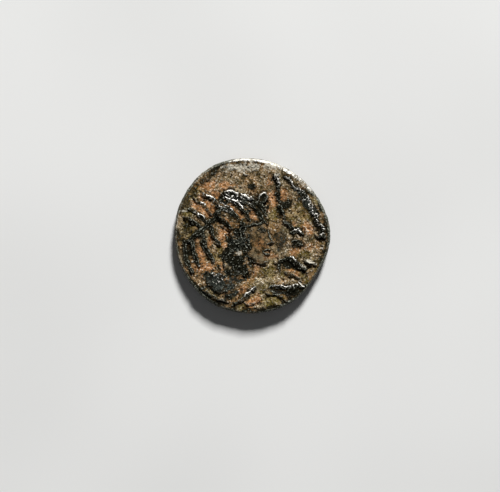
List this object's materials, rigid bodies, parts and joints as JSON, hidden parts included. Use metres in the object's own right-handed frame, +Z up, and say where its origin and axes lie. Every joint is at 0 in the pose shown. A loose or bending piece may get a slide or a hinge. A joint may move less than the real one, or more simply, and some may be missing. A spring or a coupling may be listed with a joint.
{
  "type": "nummus",
  "caption": "Small irregular round struck bronze coin with a profile bust and broken strokes of legend on one side and a leaf wreath on the other, lying flat.",
  "frame": {"origin": "middle of the underside, where the coin rests on its reverse", "axes": "+Z up, out of the portrait side; +Y towards the top of the portrait's head; +X the way the portrait looks"},
  "size_m": [0.0156, 0.0156, 0.0017],
  "materials": {
    "bronze": "struck bronze, worn, with a dark green-brown patina on the relief and tan earthy deposits in the hollows"
  },
  "bodies": {
    "root": {"coin": "bronze"}
  },
  "joints": []
}
